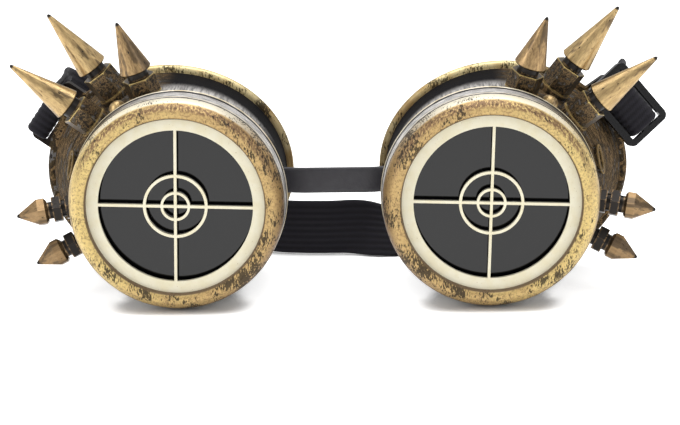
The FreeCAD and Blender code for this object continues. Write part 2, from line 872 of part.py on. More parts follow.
def build_bridge():
    """Flat strap with a loop round the pin at each end."""
    reach = size("cup_half_spacing") - pin_out
    half = size("bridge_height") / 2
    loop = size("pin_radius") + "pin_clearance" + "bridge_thickness"
    strip = box("bridge_strip", reach * 2, "bridge_thickness", "bridge_height",
                (-reach, -size("bridge_thickness") / 2, -half))
    loops = [cylinder("bridge_loop_%d" % (s > 0), loop, "bridge_height", (s * reach, 0, -half))
             for s in (-1, 1)]
    holes = [cylinder("bridge_eye_%d" % (s > 0), size("pin_radius") + "pin_clearance",
                      size("bridge_height") + 2, (s * reach, 0, -half - 1)) for s in (-1, 1)]
    return cut("bridge_strap", fuse("bridge_whole", [strip] + loops), holes)


def slider_centre():
    """Middle of the slider: beyond the right ear's end bar and in front of the rim."""
    return on_ear(1, ear_to - 0.2, rim_at - 4.8)


def slider_axes():
    tilt = math.radians(SIZES["slider_tilt"])
    ear = ear_out(1)
    out = compass(1, math.degrees(math.atan2(ear.z, ear.x)) + SIZES["slider_turn"])
    way = out * math.cos(tilt) + BACK * math.sin(tilt)
    across = out.cross(BACK)
    return way, across, way.cross(across)


def build_slider():
    """Three-bar slider, long side across the headband."""
    way, across, up = slider_axes()
    turn = FreeCAD.Rotation(way, across, up, "XYZ")
    centre = slider_centre()
    length = size("slider_length")
    width = size("slider_width")
    thick = size("slider_thickness")
    bar = size("slider_bar")

    def block(name, long, wide, tall, offset):
        p = centre + way * (offset - size(long).value / 2)
        p = p - across * (size(wide).value / 2)
        p = p - up * (size(tall).value / 2)
        return box(name, long, wide, tall, (p.x, p.y, p.z), turn)

    plate = block("slider_plate", length, width, thick, 0.0)
    smooth = rounded("slider_smooth", plate, bar, lambda e: abs(edge_way(e).dot(up)) > 0.9)
    gap = (length - bar * 3) / 2
    shift = (gap + bar) / 2
    slots = [block("slider_slot_%d" % (s > 0), gap, width - bar * 1.6, thick * 3, s * shift.value)
             for s in (-1, 1)]
    return cut("strap_slider", smooth, slots)


def edge_way(edge):
    way = edge.Vertexes[-1].Point - edge.Vertexes[0].Point
    if way.Length > 0:
        way.normalize()
    return way


def headband_stations():
    """Centre points and width directions of the elastic, from its end at the slider to the left ear."""
    floor = axis_up.value - bead_radius.value
    half = SIZES["strap_width"] / 2
    lie = floor + half + SIZES["strap_lift"]
    run = (plate_at + back_at + "cushion_thickness" + "strap_gap").value
    near = rim_at.value
    bar_in = slot_from.value + SIZES["ear_slot"] / 2 + 0.1
    bar_out = ear_to.value
    cup = SIZES["cup_half_spacing"]
    reach = rim_half_width.value + SIZES["strap_spread"]
    right_up = ear_out(1).cross(BACK)
    left_up = V(-right_up.x, 0, right_up.z)
    middle = slider_centre()
    way, across, above = slider_axes()
    stations = []

    def ear(side, out, depth):
        stations.append((on_ear(side, out, depth), right_up if side > 0 else left_up))

    def slide(out, front):
        stations.append((middle + way * out + above * front, across))

    def free(side, out, back, up, lean):
        """Station off the ears: out and up are shares of the reach, back a share of the slack."""
        b = math.radians(lean)
        x = side * (cup + out * reach)
        point = V(x, run + back * SIZES["strap_slack"], lie + up * reach)
        stations.append((point, V(0, math.sin(b), math.cos(b))))

    ear(1, bar_out + 1.3, near - 1.9)
    ear(1, bar_out + 1.6, near - 0.6)
    ear(1, bar_out + 1.9, near + 1.2)
    ear(1, bar_out + 1.9, near + 3.0)
    ear(1, bar_out + 1.2, near + 4.9)
    ear(1, bar_out - 0.4, near + 6.1)
    ear(1, bar_in + 1.4, near + 6.1)
    ear(1, bar_in + 0.5, near + 5.0)
    ear(1, bar_in, near + 3.2)
    ear(1, bar_in, near + 1.0)
    ear(1, bar_in, near - 1.6)
    slide(-3.3, -2.0)
    slide(-3.05, 0.0)
    slide(-2.4, 1.6)
    slide(0.0, 2.4)
    slide(2.4, 1.6)
    slide(3.05, 0.0)
    ear(1, bar_out + 3.6, near - 1.5)
    ear(1, bar_out + 4.1, near + 0.7)
    ear(1, bar_out + 4.4, near + 4.2)
    ear(1, bar_out + 4.4, near + 9.0)
    free(1, 0.98, 0.05, 0.938, -22)
    free(1, 0.926, 0.45, 0.81, -15)
    free(1, 0.741, 0.8, 0.602, -5)
    free(1, 0.463, 0.85, 0.347, 10)
    free(1, 0.139, 0.65, 0.127, 25)
    free(1, -0.185, 0.35, -0.014, 38)
    free(1, -0.463, 0.125, -0.046, 42)
    free(1, -0.683, 0.025, -0.028, 33)
    free(1, -0.857, 0.0, 0.0, 8)
    free(-1, -0.965, 0.0, 0.0, 0)
    free(-1, -0.78, 0.0, 0.0, 0)
    free(-1, -0.602, 0.05, 0.0, 0)
    free(-1, -0.37, 0.225, 0.014, 0)
    free(-1, -0.093, 0.55, 0.104, 0)
    free(-1, 0.185, 0.85, 0.278, 0)
    free(-1, 0.463, 0.975, 0.509, 0)
    free(-1, 0.718, 0.825, 0.729, 0)
    free(-1, 0.868, 0.45, 0.891, 0)
    ear(-1, bar_out + 1.4, near + 15.0)
    ear(-1, bar_out + 1.4, near + 9.0)
    ear(-1, bar_out + 1.5, near + 4.0)
    ear(-1, bar_out + 1.5, near + 1.6)
    ear(-1, bar_out + 1.5, near + 0.05)
    ear(-1, bar_out + 1.0, near - 1.2)
    ear(-1, bar_out - 0.2, near - 1.7)
    ear(-1, bar_in + 1.5, near - 1.7)
    ear(-1, bar_in + 0.3, near - 1.2)
    ear(-1, bar_in - 0.2, near)
    ear(-1, bar_in - 0.2, near + 1.6)
    ear(-1, bar_in - 0.1, near + 3.4)
    ear(-1, bar_in + 0.9, near + 5.4)
    ear(-1, bar_in + 2.0, near + 7.0)
    ear(-1, bar_out - 0.4, near + 9.2)
    ear(-1, bar_out - 0.05, near + 12.0)
    ear(-1, bar_out - 0.05, near + 14.0)
    return stations


def skin(sections):
    """Solid between four-cornered sections, face by face."""
    faces = [Part.Face(Part.makePolygon(s + s[:1])) for s in (sections[0], sections[-1])]
    for a, b in zip(sections, sections[1:]):
        for i in range(4):
            first = Part.makeLine(a[i - 1], a[i])
            second = Part.makeLine(b[i - 1], b[i])
            faces.append(Part.makeRuledSurface(first, second))
    shell = Part.Shell(faces)
    solid = Part.Solid(shell)
    return solid if solid.Volume > 0 else Part.Solid(shell.reversed())


def build_headband():
    """Flat elastic as a band of one thickness that follows the stations."""
    stations = headband_stations()
    path = Part.BSplineCurve()
    path.interpolate([p for p, up in stations])
    places = [path.parameter(p) for p, up in stations]
    half_width = SIZES["strap_width"] / 2
    half_thick = SIZES["strap_thickness"] / 2
    sections = []
    at = path.FirstParameter
    while True:
        point = path.value(at)
        ahead = path.tangent(at)[0]
        k = max(i for i, q in enumerate(places) if q <= at + 1e-9)
        k = min(k, len(places) - 2)
        share = (at - places[k]) / (places[k + 1] - places[k])
        up = stations[k][1] * (1 - share) + stations[k + 1][1] * share
        up = up - ahead * up.dot(ahead)
        up.normalize()
        side = ahead.cross(up)
        sections.append([point + up * (a * half_width) + side * (b * half_thick)
                         for a, b in ((-1, -1), (1, -1), (1, 1), (-1, 1))])
        if at >= path.LastParameter:
            break
        left = path.length(at, path.LastParameter)
        move = 5.0
        for further in (0.0, 0.6, 1.2, 1.8, 2.4, 3.2, 4.0):
            if further < left:
                bend = path.curvature(path.parameterAtDistance(further, at))
                move = min(move, max(0.7, further + 0.35 / max(bend, 1e-6)))
        at = path.parameterAtDistance(move, at) if left > move + 0.4 else path.LastParameter
    obj = doc.addObject("Part::Feature", "headband")
    obj.Shape = skin(sections)
    return obj


for tag, side in (("left_", -1), ("right_", 1)):
    build_side(tag, side)
NODES["bridge_strap"] = build_bridge()
NODES["strap_slider"] = build_slider()
NODES["headband"] = build_headband()
doc.recompute()

bad = []
for obj in doc.Objects:
    if "Invalid" in obj.State or "Error" in obj.State:
        bad.append("%s: %s" % (obj.Name, obj.State))
for node, obj in NODES.items():
    if obj.Shape.isNull() or not obj.Shape.isValid() or not obj.Shape.Solids:
        bad.append("%s: no valid solid" % node)
if bad:
    raise RuntimeError("; ".join(bad))

os.makedirs("parts", exist_ok=True)
for node, obj in NODES.items():
    obj.Shape.exportStep("parts/%s.step" % node)
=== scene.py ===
import math

import bpy
import numpy as np
from mathutils import Matrix, Vector


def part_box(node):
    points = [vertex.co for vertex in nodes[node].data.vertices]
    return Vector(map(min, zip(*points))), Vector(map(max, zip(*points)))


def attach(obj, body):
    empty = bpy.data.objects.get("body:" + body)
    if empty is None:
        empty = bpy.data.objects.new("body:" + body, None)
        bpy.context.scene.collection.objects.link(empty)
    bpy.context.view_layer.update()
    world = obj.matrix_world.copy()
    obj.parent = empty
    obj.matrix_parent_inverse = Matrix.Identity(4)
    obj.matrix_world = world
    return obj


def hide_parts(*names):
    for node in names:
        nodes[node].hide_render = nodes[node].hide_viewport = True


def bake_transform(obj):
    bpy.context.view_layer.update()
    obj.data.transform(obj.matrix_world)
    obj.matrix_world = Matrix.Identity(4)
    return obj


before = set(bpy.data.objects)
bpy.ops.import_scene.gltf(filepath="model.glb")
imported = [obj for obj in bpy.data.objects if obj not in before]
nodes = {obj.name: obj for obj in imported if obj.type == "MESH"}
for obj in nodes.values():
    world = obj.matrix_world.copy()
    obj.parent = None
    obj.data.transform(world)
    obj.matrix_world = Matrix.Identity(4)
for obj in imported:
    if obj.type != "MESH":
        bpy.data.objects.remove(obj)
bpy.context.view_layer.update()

MM = 0.001
SIDES = {"left": -1, "right": 1}
BACK = np.array([0.0, 1.0, 0.0])

# Places taken from the frame, in metres, and the cup's axis in millimetres.
CUP_AXIS = {tag: sum(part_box(tag + "_lens"), Vector()) / 2 for tag in SIDES}
PLATE_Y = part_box("right_reticle_plate")[0].y
FLOOR_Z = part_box("right_bezel")[0].z
CUSHION_LOW, CUSHION_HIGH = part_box("right_face_cushion")
CUP_HALF = CUP_AXIS["right"].x / MM
AXIS_UP = CUP_AXIS["right"].z / MM

# The oval rim, in millimetres, worked out from the cushion that sits on it.
CUSHION_INSET = 2.2
RIM_THICKNESS = 3.0
RIM_DEPTH = (CUSHION_LOW.y - PLATE_Y) / MM - RIM_THICKNESS
RIM_MIDDLE_X = (CUSHION_LOW.x + CUSHION_HIGH.x) / 2 / MM
RIM_MIDDLE_Z = (CUSHION_LOW.z + CUSHION_HIGH.z) / 2 / MM
RIM_HALF_WIDTH = (CUSHION_HIGH.x - CUSHION_LOW.x) / 2 / MM + CUSHION_INSET
RIM_HALF_HEIGHT = (CUSHION_HIGH.z - CUSHION_LOW.z) / 2 / MM + CUSHION_INSET

# The ears, the slider and the headband, in millimetres and degrees. The strap lies a little
# nearer to the inner side of the ear's slot than the solid does.
EAR_ANGLE = 31.4
EAR_REACH = 4.9
STRAP_IN_SLOT = 1.27
SLIDER_OUT = EAR_REACH - 0.2
SLIDER_AHEAD = 4.8
SLIDER_TILT = 15.0
SLIDER_TURN = 5.0
STRAP_WIDTH = 16.0
STRAP_THICKNESS = 1.2
STRAP_RIBS = 9
STRAP_RIB_DEPTH = 0.16
STRAP_GAP = 10.2
STRAP_SLACK = 20.0
STRAP_LIFT = 0.3
STRAP_SPREAD = 8.3


class Shader:
    """A material's node tree, with short calls for the nodes that the finishes share."""

    def __init__(self, name):
        self.material = bpy.data.materials.new(name)
        self.material.use_nodes = True
        self.tree = self.material.node_tree
        self.bsdf = self.tree.nodes["Principled BSDF"]

    def feed(self, socket, value):
        if isinstance(value, bpy.types.NodeSocket):
            self.tree.links.new(value, socket)
        elif isinstance(value, (tuple, list)) and len(value) == 3 and socket.type == "RGBA":
            socket.default_value = (*value, 1.0)
        else:
            socket.default_value = value

    def node(self, kind, inputs=(), **settings):
        made = self.tree.nodes.new("ShaderNode" + kind)
        for key, value in settings.items():
            setattr(made, key, value)
        for key, value in dict(inputs).items():
            self.feed(made.inputs[key], value)
        return made

    def math(self, operation, a, b=0.0):
        return self.node("Math", {0: a, 1: b}, operation=operation).outputs[0]

    def plus(self, a, b):
        return self.math("ADD", a, b)

    def minus(self, a, b):
        return self.math("SUBTRACT", a, b)

    def times(self, a, b):
        return self.math("MULTIPLY", a, b)

    def vector(self, operation, a, b=(0.0, 0.0, 0.0)):
        made = self.node("VectorMath", {0: a, 1: b}, operation=operation)
        return made.outputs["Value" if operation in ("LENGTH", "DOT_PRODUCT") else "Vector"]

    def place(self, origin=(0.0, 0.0, 0.0)):
        """The object's own coordinates in millimetres from a point of the frame."""
        spot = self.node("TexCoord").outputs["Object"]
        moved = self.vector("SUBTRACT", spot, tuple(origin))
        return self.vector("MULTIPLY", moved, (1 / MM, 1 / MM, 1 / MM))

    def part(self, vector, letter):
        return self.node("SeparateXYZ", {0: vector}).outputs[letter]

    def slant(self, vector, turn, stretch):
        """Coordinates turned about Y and squeezed, for marks that slant one way."""
        inputs = {"Vector": vector, "Rotation": (0.0, turn, 0.0), "Scale": stretch}
        return self.node("Mapping", inputs).outputs["Vector"]

    def noise(self, vector, scale, detail=4.0, rough=0.55):
        inputs = {"Vector": vector, "Scale": scale, "Detail": detail, "Roughness": rough}
        return self.node("TexNoise", inputs).outputs["Fac"]

    def mask(self, value, low, high):
        """Smooth rise from 0 at the low value to 1 at the high one."""
        inputs = {"Value": value, "From Min": low, "From Max": high}
        return self.node("MapRange", inputs, interpolation_type="SMOOTHSTEP").outputs["Result"]

    def fall(self, value, low, high):
        """Smooth fall from 1 at the low value to 0 at the high one."""
        return self.minus(1.0, self.mask(value, low, high))

    def around(self, place, side):
        """Distance from an axis along Y, and from -1 to 1 how far to the temple and to the top."""
        flat = self.vector("MULTIPLY", place, (float(side), 0.0, 1.0))
        radius = self.vector("LENGTH", flat)
        way = self.vector("NORMALIZE", flat)
        return radius, self.part(way, "X"), self.part(way, "Z")

    def mix(self, share, a, b):
        made = self.node("Mix", data_type="RGBA")
        for index, value in ((0, share), (6, a), (7, b)):
            self.feed(made.inputs[index], value)
        return made.outputs[2]

    def ramp(self, value, stops):
        """Colours along a value: each stop is a place from 0 to 1 and a colour."""
        made = self.node("ValToRGB", {"Fac": value})
        bar = made.color_ramp.elements
        while len(bar) < len(stops):
            bar.new(1.0)
        for element, (spot, colour) in zip(bar, stops):
            element.position = spot
            element.color = (*colour, 1.0)
        return made.outputs["Color"]

    def hollow(self, reach):
        """From 0 on open faces to 1 in corners and grooves, as far as reach in millimetres."""
        made = self.node("AmbientOcclusion", {"Distance": reach * MM}, samples=8)
        return self.minus(1.0, made.outputs["AO"])

    def edge(self, reach):
        """From 0 on flat faces to 1 on outer edges, as far as reach in millimetres."""
        made = self.node("AmbientOcclusion", {"Distance": reach * MM}, samples=8, inside=True)
        return self.minus(1.0, made.outputs["AO"])

    def bump(self, height, strength, depth):
        inputs = {"Height": height, "Strength": strength, "Distance": depth * MM}
        self.feed(self.bsdf.inputs["Normal"], self.node("Bump", inputs).outputs["Normal"])

    def finish(self, **sockets):
        for key, value in sockets.items():
            self.feed(self.bsdf.inputs[key.replace("_", " ")], value)
        return self.material


WHITE = (1.0, 1.0, 1.0)
BLACK = (0.0, 0.0, 0.0)
GOLD_PALE = (0.74, 0.62, 0.34)
GOLD_LIGHT = (0.68, 0.51, 0.195)
GOLD_TAN = (0.53, 0.36, 0.145)
GOLD_BROWN = (0.17, 0.095, 0.042)
CREAM = (0.86, 0.82, 0.68)
BRASS = (0.56, 0.40, 0.185)
BRASS_DULL = (0.36, 0.245, 0.115)
COPPER = (0.45, 0.30, 0.14)
COPPER_DULL = (0.235, 0.15, 0.072)
COPPER_AGED = (0.31, 0.20, 0.095)
TAN_SHADE = (0.15, 0.10, 0.055)
OLIVE = (0.060, 0.043, 0.022)
PATINA = (0.017, 0.014, 0.012)
SILVER = (0.72, 0.69, 0.66)
SLATE = (0.15, 0.145, 0.145)
CHARCOAL = (0.005, 0.0046, 0.0056)
IVORY = (0.90, 0.85, 0.66)
IVORY_WARM = (0.86, 0.79, 0.56)
IVORY_SPECK = (0.62, 0.52, 0.32)
LENS_DEEP = (0.0015, 0.0015, 0.0018)
LENS_HAZE = (0.0025, 0.0025, 0.003)
ELASTIC_DEEP = (0.0016, 0.0013, 0.0028)
ELASTIC_THREAD = (0.0046, 0.0037, 0.0078)
ELASTIC_FUZZ = (0.0085, 0.0070, 0.0125)
ELASTIC_CREST = (0.012, 0.0105, 0.017)
VINYL = (0.030, 0.028, 0.034)
VINYL_LIGHT = (0.042, 0.040, 0.046)
FOAM = (0.014, 0.014, 0.015)
FOAM_LIGHT = (0.024, 0.024, 0.025)
GLOSS_BLACK = (0.004, 0.004, 0.005)
GLOSS_EDGE_LIGHT = (0.030, 0.030, 0.034)
STEEL = (0.50, 0.49, 0.47)
STEEL_TARNISH = (0.20, 0.18, 0.16)
RUBBER = (0.012, 0.012, 0.012)
RUBBER_DUST = (0.026, 0.025, 0.024)
FLOOR_PAPER = (0.88, 0.88, 0.88)

# Colours of the cups' temple side and of the standoffs, along a noise from 0 to 1.
TEMPLE_BRONZE = [
    (0.36, PATINA), (0.43, OLIVE), (0.47, COPPER_DULL), (0.50, PATINA),
    (0.57, OLIVE), (0.61, SLATE), (0.65, PATINA),
]
STANDOFF_BRONZE = [
    (0.38, PATINA), (0.44, OLIVE), (0.49, COPPER_DULL), (0.52, PATINA),
    (0.58, OLIVE), (0.66, SLATE),
]

# Zones of the bezel where one tone turns into the next, in millimetres: distances from the lens
# axis, and for the side band and its lines depths behind the plate. A line's third number is the
# width of its soft border.
BEZEL_INNER_EDGE = (23.9, 24.2)
# The turn's zones carry a painted dark reflection, the nose shade and underside zones carry painted
# shade, and the lip zone a painted highlight.
BEZEL_TURN_INNER = (25.6, 26.6)
BEZEL_TURN_OUTER = (27.5, 27.9)
BEZEL_NOSE_SHADE = (26.0, 27.6)
BEZEL_UNDERSIDE_SHADE = (27.4, 28.5)
BEZEL_LIP_HIGHLIGHT = (27.75, 28.1)
BEZEL_SIDE_BAND = (2.8, 3.2)
BEZEL_LINES_REACH = 12.0
BEZEL_BRIGHT_LINES = [(3.9, 4.3, 0.15), (10.6, 11.2, 0.15)]
BEZEL_DARK_LINES = [(2.9, 3.6, 0.1), (9.7, 10.4, 0.1)]

# Zones of the cup: depths behind the plate in millimetres, and the fade past the oval rim's edge
# as shares of its half width and height.
CUP_BLACK_BAND = (22.0, 30.0)
CUP_BAND_FRAY = 6.0
CUP_RIM_START = (37.3, 37.8)
CUP_RIM_WORN = (37.6, 38.8)
CUP_BEYOND_RIM = (1.0, 1.02)

# Fade of a brass piece's dark foot and places of its dark tip, in millimetres.
BRASS_FOOT_FADE = 0.35
BRASS_TIP = (1.1, 0.5)

# Cross threads over the band's width, and the length of one thread in millimetres.
THREADS_ACROSS = 28.0
THREAD_LENGTH = 0.9


def worn_flecks(shader, place, tilt, share):
    """Short dark dashes that slant one way and gather in clusters where the share is high."""
    dash = shader.noise(shader.slant(place, tilt, (1.0, 0.6, 0.32)), 2.5, 3.0, 0.6)
    cluster = shader.minus(shader.noise(place, 0.17, 2.0), 0.5)
    level = shader.plus(dash, shader.times(cluster, 0.80))
    level = shader.plus(level, shader.times(share, 0.085))
    return shader.mask(level, 0.63, 0.70)


def lines_by_depth(shader, depth, reach, spans):
    """Thin lines round an axis: 1 inside each span of depth, 0 outside, with soft borders."""
    stops = [(0.0, BLACK)]
    for start, end, soft in spans:
        stops.append(((start - soft) / reach, BLACK))
        stops.append((start / reach, WHITE))
        stops.append((end / reach, WHITE))
        stops.append(((end + soft) / reach, BLACK))
    return shader.ramp(shader.math("DIVIDE", depth, reach), stops)


def bezel_finish(tag):
    """Rubbed gold screw ring: dark flecks, grey side band and dark grooves, with painted shade
    towards the nose and below the top, a painted cream highlight on the top lip, and a brown
    hatched band as painted reflection on the upper turn.
    """
    shader = Shader(tag + "_bezel_gold")
    axis = CUP_AXIS[tag]
    place = shader.place((axis.x, PLATE_Y, axis.z))
    depth = shader.part(place, "Y")
    radius, temple, top = shader.around(place, SIDES[tag])

    cloud = shader.noise(place, 0.12, 3.0)
    # Random cloud tone, plus painted shade: the gold turns tan towards the nose side.
    nose = shader.minus(shader.times(cloud, 1.6), shader.times(temple, 0.45))
    coat = shader.mix(shader.mask(nose, 0.35, 1.05), GOLD_LIGHT, GOLD_TAN)
    grain = shader.noise(place, 1.5, 5.0, 0.75)
    stipple = shader.times(shader.mask(grain, 0.46, 0.64), 0.68)
    coat = shader.mix(stipple, coat, GOLD_BROWN)

    turn = shader.mask(radius, *BEZEL_TURN_INNER)
    turn = shader.times(turn, shader.fall(radius, *BEZEL_TURN_OUTER))
    # Painted reflection: a brown hatched band on the upper part of the turn, where the ring would
    # mirror darker surroundings.
    upper = shader.times(shader.mask(top, 0.10, 0.70), turn)
    hatch = shader.noise(shader.slant(place, 0.8, (1.0, 1.0, 0.25)), 1.7, 3.0, 0.6)
    coat = shader.mix(shader.times(upper, shader.mask(hatch, 0.36, 0.56)), coat, GOLD_BROWN)
    # Painted highlight: cream on the outer lip at the top.
    lip = shader.times(shader.mask(radius, *BEZEL_LIP_HIGHLIGHT), shader.mask(top, 0.45, 0.85))
    coat = shader.mix(shader.times(lip, 0.8), coat, CREAM)
    # Painted shade: brown round the outer edge everywhere except at the top.
    under = shader.times(shader.mask(radius, *BEZEL_UNDERSIDE_SHADE), shader.fall(top, -0.05, 0.35))
    coat = shader.mix(shader.times(under, 0.75), coat, GOLD_BROWN)
    shade = shader.times(shader.mask(radius, *BEZEL_NOSE_SHADE), shader.fall(temple, -0.80, -0.30))
    coat = shader.mix(shader.times(shade, 0.45), coat, GOLD_BROWN)

    gather = shader.plus(shader.fall(temple, -0.9, 0.2), shader.fall(top, -0.9, -0.3))
    flecks = worn_flecks(shader, place, 0.7, gather)
    coat = shader.mix(shader.times(flecks, 0.85), coat, PATINA)

    ring = shader.vector("MULTIPLY", place, (0.12, 1.0, 0.12))
    streak = shader.noise(ring, 2.4, 4.0, 0.6)
    band = shader.mix(shader.mask(streak, 0.36, 0.62), SLATE, SILVER)
    band = shader.mix(shader.mask(temple, 0.25, 0.70), band, OLIVE)
    coat = shader.mix(shader.mask(depth, *BEZEL_SIDE_BAND), coat, band)
    bright = lines_by_depth(shader, depth, BEZEL_LINES_REACH, BEZEL_BRIGHT_LINES)
    coat = shader.mix(shader.times(bright, 0.85), coat, shader.mix(streak, GOLD_LIGHT, CREAM))
    dark = lines_by_depth(shader, depth, BEZEL_LINES_REACH, BEZEL_DARK_LINES)
    coat = shader.mix(shader.times(dark, 0.92), coat, PATINA)

    coat = shader.mix(shader.fall(radius, *BEZEL_INNER_EDGE), coat, TAN_SHADE)
    coat = shader.mix(shader.mask(shader.hollow(0.9), 0.40, 0.70), coat, PATINA)
    shader.bump(shader.minus(shader.times(grain, 0.5), flecks), 0.30, 0.10)
    rough = shader.plus(0.46, shader.times(flecks, 0.3))
    return shader.finish(Base_Color=coat, Metallic=0.4, Roughness=rough)


def cup_finish(tag):
    """Eyecup: brushed strip shown only on top as a painted reflection, painted black shade round
    the rest of the flare, a black band under a gold rim with painted shade towards the nose, and a
    streaked bronze temple side.
    """
    shader = Shader(tag + "_cup_coat")
    axis = CUP_AXIS[tag]
    place = shader.place((axis.x, PLATE_Y, axis.z))
    depth = shader.part(place, "Y")
    temple, top = shader.around(place, SIDES[tag])[1:]

    streak = shader.noise(shader.vector("MULTIPLY", place, (1.0, 0.06, 1.0)), 1.5, 4.0, 0.7)
    brushed = shader.mix(shader.mask(streak, 0.34, 0.66), SLATE, SILVER)
    drift = shader.times(shader.minus(shader.noise(place, 0.2, 3.0), 0.5), 0.5)
    # Painted light: the brushed silver shows only near the top as a painted reflection, and below
    # that the flare turns to painted black shade.
    sides = shader.fall(shader.plus(top, drift), 0.35, 1.0)
    back = shader.mask(shader.plus(depth, shader.times(streak, CUP_BAND_FRAY)), *CUP_BLACK_BAND)
    black_and_shaded = shader.math("MAXIMUM", back, sides)
    flare = shader.mix(black_and_shaded, brushed, CHARCOAL)

    smear = shader.noise(shader.vector("MULTIPLY", place, (0.16, 0.75, 0.16)), 1.0, 5.0, 0.7)
    bronze = shader.ramp(smear, TEMPLE_BRONZE)
    worn = shader.mask(shader.edge(0.9), 0.18, 0.55)
    bronze = shader.mix(shader.times(worn, 0.6), bronze, GOLD_TAN)
    flare = shader.mix(shader.mask(temple, 0.05, 0.32), flare, bronze)

    cloud = shader.noise(place, 0.14, 3.0)
    rim = shader.mix(shader.mask(cloud, 0.40, 0.62), GOLD_PALE, GOLD_TAN)
    flecks = worn_flecks(shader, place, 0.5, shader.fall(depth, *CUP_RIM_WORN))
    shade = shader.times(shader.fall(temple, -0.85, -0.40), 0.6)
    rim = shader.mix(shade, rim, TAN_SHADE)
    rim = shader.mix(shader.times(flecks, 0.85), rim, PATINA)
    rim = shader.mix(shader.mask(temple, 0.30, 0.62), rim, bronze)
    on_rim = shader.mask(depth, *CUP_RIM_START)
    coat = shader.mix(on_rim, flare, rim)

    oval = shader.vector("MULTIPLY", place, (1 / RIM_HALF_WIDTH, 0.0, 1 / RIM_HALF_HEIGHT))
    centre_x = SIDES[tag] * (RIM_MIDDLE_X - CUP_HALF) / RIM_HALF_WIDTH
    centre_z = (RIM_MIDDLE_Z - AXIS_UP) / RIM_HALF_HEIGHT
    beyond = shader.vector("LENGTH", shader.vector("SUBTRACT", oval, (centre_x, 0.0, centre_z)))
    coat = shader.mix(shader.mask(beyond, *CUP_BEYOND_RIM), coat, PATINA)
    coat = shader.mix(shader.mask(shader.hollow(2.2), 0.32, 0.70), coat, PATINA)

    shine = shader.math("MAXIMUM", on_rim, shader.minus(1.0, black_and_shaded))
    rough = shader.minus(0.70, shader.times(shine, 0.28))
    shader.bump(shader.minus(shader.times(smear, 0.6), flecks), 0.35, 0.14)
    metal = shader.times(shine, 0.45)
    return shader.finish(Base_Color=coat, Metallic=metal, Roughness=rough, Specular_IOR_Level=0.04)


def brass_finish(name, root, direction, reach, foot, bare, tones):
    """Aged brass: lengthwise streaks, dark flecks, a dark foot with worn edges, a dark tip."""
    shader = Shader(name + "_brass")
    light, dim = tones
    place = shader.place(root)
    run = shader.vector("DOT_PRODUCT", place, tuple(direction))
    along = shader.node("VectorMath", {0: tuple(direction), "Scale": run}, operation="SCALE")
    along = along.outputs["Vector"]

    def stretched(share):
        """Coordinates shortened along the piece, which draws the marks out lengthwise."""
        return shader.vector("SUBTRACT", place, shader.vector("MULTIPLY", along, (share,) * 3))

    streaky = stretched(0.90)
    streak = shader.noise(streaky, 0.42, 3.0, 0.6)
    line = shader.noise(streaky, 1.6, 4.0, 0.7)
    coat = shader.mix(shader.mask(line, 0.36, 0.64), dim, light)
    dull = shader.times(shader.mask(streak, bare, bare + 0.10), 0.85)
    coat = shader.mix(dull, coat, shader.mix(line, PATINA, TAN_SHADE))
    dark = shader.mask(shader.noise(stretched(0.6), 1.3, 4.0, 0.65), 0.62, 0.69)
    coat = shader.mix(shader.times(dark, 0.9), coat, PATINA)
    coat = shader.mix(shader.mask(shader.hollow(1.6), 0.25, 0.60), coat, PATINA)
    worn = shader.mask(shader.edge(0.7), 0.20, 0.50)
    rubbed = shader.times(worn, shader.mask(line, 0.40, 0.55))
    at_foot = shader.fall(run, foot, foot + BRASS_FOOT_FADE)
    coat = shader.mix(at_foot, coat, shader.mix(rubbed, PATINA, dim))
    at_tip = shader.mask(run, reach - BRASS_TIP[0], reach - BRASS_TIP[1])
    coat = shader.mix(at_tip, coat, PATINA)
    shader.bump(shader.minus(shader.times(line, 0.5), dark), 0.25, 0.1)
    rough = shader.plus(0.36, shader.times(dark, 0.3))
    return shader.finish(Base_Color=coat, Metallic=0.7, Roughness=rough)


def bronze_finish():
    """Dark bronze standoffs: olive facets, black patches and brass worn bright along the edges."""
    shader = Shader("dark_bronze")
    blot = shader.noise(shader.place(), 0.55, 4.0, 0.7)
    coat = shader.ramp(blot, STANDOFF_BRONZE)
    worn = shader.times(shader.edge(0.8), shader.plus(blot, 0.35))
    coat = shader.mix(shader.mask(worn, 0.20, 0.48), coat, GOLD_LIGHT)
    shader.bump(blot, 0.3, 0.15)
    return shader.finish(Base_Color=coat, Metallic=0.75, Roughness=0.30)


def plate_finish():
    """Matte ivory coat, a little warmer in patches, with painted shade making the plate's back dark
    and its edges half dark.
    """
    shader = Shader("ivory_plate")
    place = shader.place()
    patch = shader.noise(place, 0.25, 3.0)
    grain = shader.noise(place, 2.2, 4.0)
    coat = shader.mix(shader.mask(patch, 0.35, 0.7), IVORY, IVORY_WARM)
    coat = shader.mix(shader.mask(grain, 0.66, 0.72), coat, IVORY_SPECK)
    # Painted shade: faces turned to the lens go near black and edges half way, so the lens reflects
    # a dark back.
    facing = shader.part(shader.node("NewGeometry").outputs["Normal"], "Y")
    coat = shader.mix(shader.mask(facing, -0.2, 0.2), coat, PATINA)
    shader.bump(grain, 0.12, 0.05)
    return shader.finish(Base_Color=coat, Roughness=0.55)


def lens_finish():
    """Near-black glossy lens with a faint uneven tone."""
    shader = Shader("dark_lens")
    coat = shader.mix(shader.noise(shader.place(), 0.06, 2.0), LENS_DEEP, LENS_HAZE)
    return shader.finish(Base_Color=coat, Roughness=0.03, IOR=1.45)


